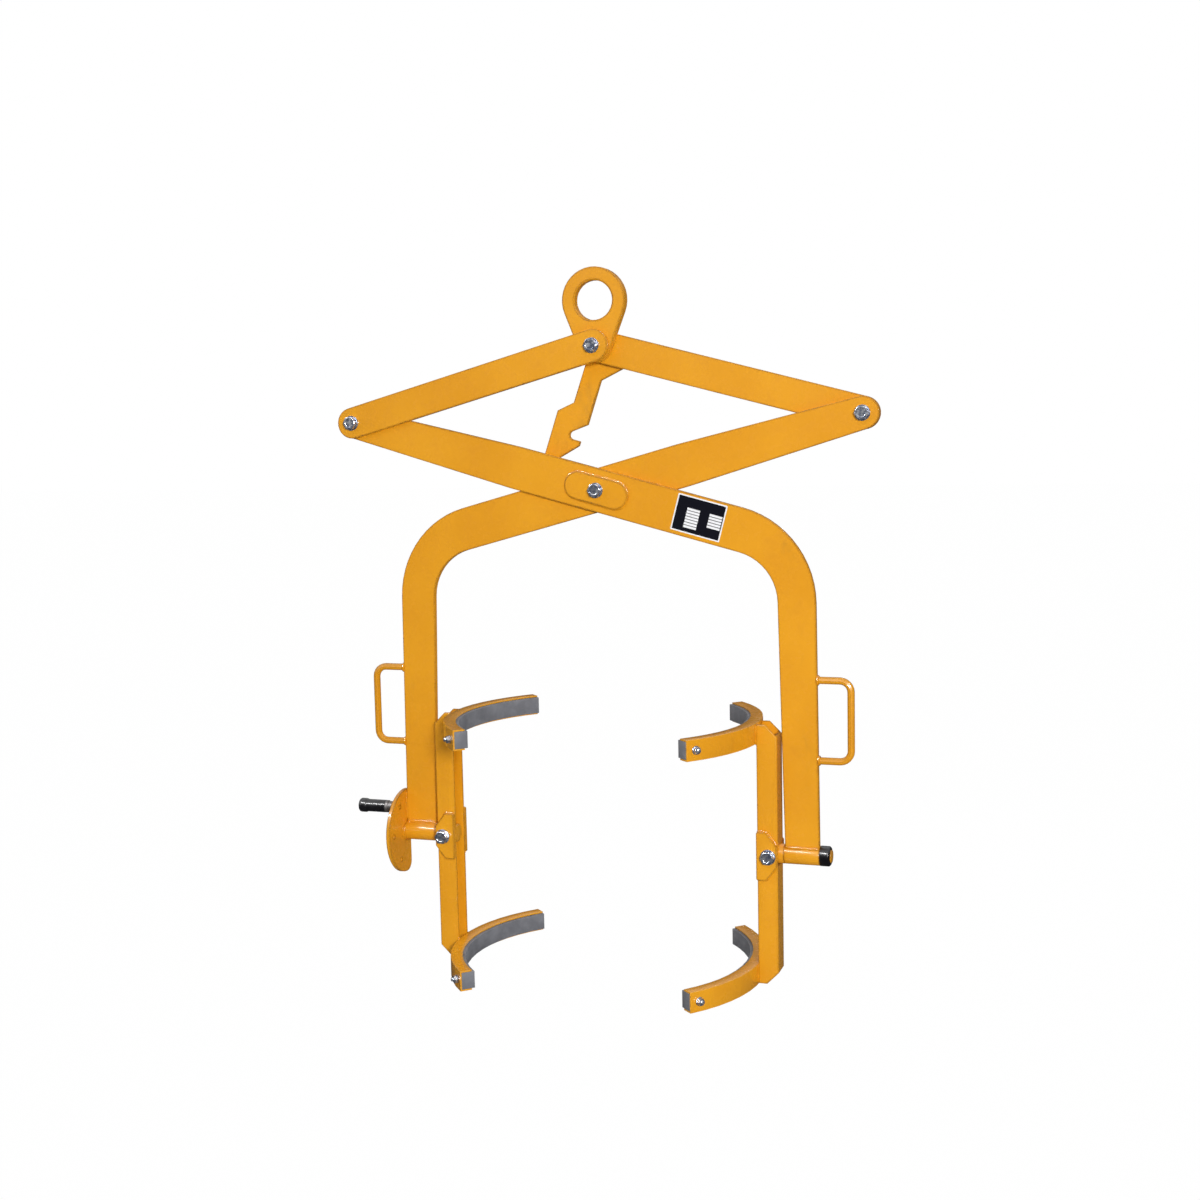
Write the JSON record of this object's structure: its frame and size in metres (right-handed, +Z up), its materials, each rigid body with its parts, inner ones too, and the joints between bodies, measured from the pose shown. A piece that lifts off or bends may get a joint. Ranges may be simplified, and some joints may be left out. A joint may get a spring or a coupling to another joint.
{
  "type": "drum lifter",
  "caption": "Scissor drum lifter with a suspension eye, crossed arms, lined curved shoes on turning shafts, an index crank, carrying handles and a hold-open latch.",
  "frame": {"origin": "centre of the suspension eye's hole", "axes": "+X to the right across the two arms, +Y away from the viewer through the pivots, +Z up along the line of lift"},
  "size_m": [1.0968, 0.431, 1.3911],
  "materials": {
    "orange_paint": "glossy orange-yellow machine paint",
    "zinc_plate": "bright zinc plate",
    "grey_rubber": "matt grey friction rubber",
    "black_plastic": "satin black moulding",
    "phosphated_steel": "dull grey phosphated steel",
    "bronze": "plain bearing bronze",
    "bright_steel": "ground steel"
  },
  "bodies": {
    "eye": {"suspension_eye": "orange_paint", "top_bolt": "zinc_plate", "top_nut": "zinc_plate", "latch_washer": "zinc_plate"},
    "latch": {"latch_hook": "orange_paint"},
    "left_link": {"left_link": "orange_paint", "left_bolt": "zinc_plate", "left_nut": "zinc_plate"},
    "right_link": {"right_link": "orange_paint"},
    "front_arm": {"front_arm": "orange_paint", "front_doubler": "orange_paint", "centre_bolt": "zinc_plate", "centre_nut": "zinc_plate", "right_handle": "orange_paint", "right_bearing_tube": "orange_paint", "right_bush": "bronze"},
    "rear_arm": {"rear_arm": "orange_paint", "rear_doubler": "orange_paint", "right_bolt": "zinc_plate", "right_nut": "zinc_plate", "left_handle": "orange_paint", "left_bearing_tube": "orange_paint", "left_bush": "bronze", "index_plate": "orange_paint"},
    "left_shaft": {"left_shaft": "orange_paint", "crank_lever": "orange_paint", "plunger_guide": "phosphated_steel", "plunger_spring": "bright_steel"},
    "right_shaft": {"right_shaft": "orange_paint", "shaft_collar": "black_plastic"},
    "plunger": {"plunger_pin": "bright_steel", "plunger_ferrule": "phosphated_steel", "plunger_grip": "black_plastic"},
    "left_clamp": {"left_channel": "orange_paint", "left_front_fork": "orange_paint", "left_rear_fork": "orange_paint", "left_clamp_bolt": "zinc_plate", "left_clamp_nut": "zinc_plate", "left_upper_shoe": "orange_paint", "left_upper_lining": "grey_rubber", "left_upper_front_screw": "zinc_plate", "left_upper_rear_screw": "zinc_plate", "left_lower_shoe": "orange_paint", "left_lower_lining": "grey_rubber", "left_lower_front_screw": "zinc_plate", "left_lower_rear_screw": "zinc_plate"},
    "right_clamp": {"right_channel": "orange_paint", "right_front_fork": "orange_paint", "right_rear_fork": "orange_paint", "right_clamp_bolt": "zinc_plate", "right_clamp_nut": "zinc_plate", "right_upper_shoe": "orange_paint", "right_upper_lining": "grey_rubber", "right_upper_front_screw": "zinc_plate", "right_upper_rear_screw": "zinc_plate", "right_lower_shoe": "orange_paint", "right_lower_lining": "grey_rubber", "right_lower_front_screw": "zinc_plate", "right_lower_rear_screw": "zinc_plate"}
  },
  "joints": [
    {"name": "left_link_pivot", "type": "hinge", "parent": "eye", "child": "left_link", "pos_m": [0, 0, -0.087], "axis": [0, 1, 0], "range_deg": [-3, 5.3]},
    {"name": "right_link_pivot", "type": "hinge", "parent": "eye", "child": "right_link", "pos_m": [0, 0, -0.087], "axis": [0, 1, 0], "range_deg": [-5.3, 3]},
    {"name": "latch_pivot", "type": "hinge", "parent": "eye", "child": "latch", "pos_m": [0, 0, -0.087], "axis": [0, 1, 0], "range_deg": [-18.8, 40]},
    {"name": "front_arm_pivot", "type": "hinge", "parent": "left_link", "child": "front_arm", "pos_m": [-0.51749, 0, -0.22663], "axis": [0, 1, 0], "range_deg": [-10.6, 6]},
    {"name": "rear_arm_pivot", "type": "hinge", "parent": "front_arm", "child": "rear_arm", "pos_m": [0, 0, -0.36626], "axis": [0, 1, 0], "range_deg": [-6, 10.6]},
    {"name": "left_shaft_turn", "type": "hinge", "parent": "rear_arm", "child": "left_shaft", "pos_m": [-0.368, 0, -1.07026], "axis": [1, 0, 0], "continuous": true},
    {"name": "right_shaft_turn", "type": "hinge", "parent": "front_arm", "child": "right_shaft", "pos_m": [0.368, 0, -1.07026], "axis": [1, 0, 0], "continuous": true},
    {"name": "left_clamp_rock", "type": "hinge", "parent": "left_shaft", "child": "left_clamp", "pos_m": [-0.3391, 0, -1.07026], "axis": [0, 1, 0], "range_deg": [-0.8, 0.8]},
    {"name": "right_clamp_rock", "type": "hinge", "parent": "right_shaft", "child": "right_clamp", "pos_m": [0.3391, 0, -1.07026], "axis": [0, 1, 0], "range_deg": [-0.8, 0.8]},
    {"name": "plunger_slide", "type": "slide", "parent": "left_shaft", "child": "plunger", "axis": [1, 0, 0], "range_m": [0, 0.0085]}
  ],
  "couplings": [
    {"joint": "right_link_pivot", "follows": "left_link_pivot", "ratio": -1},
    {"joint": "front_arm_pivot", "follows": "left_link_pivot", "ratio": -2},
    {"joint": "rear_arm_pivot", "follows": "left_link_pivot", "ratio": 2},
    {"joint": "right_shaft_turn", "follows": "left_shaft_turn", "ratio": 1}
  ]
}
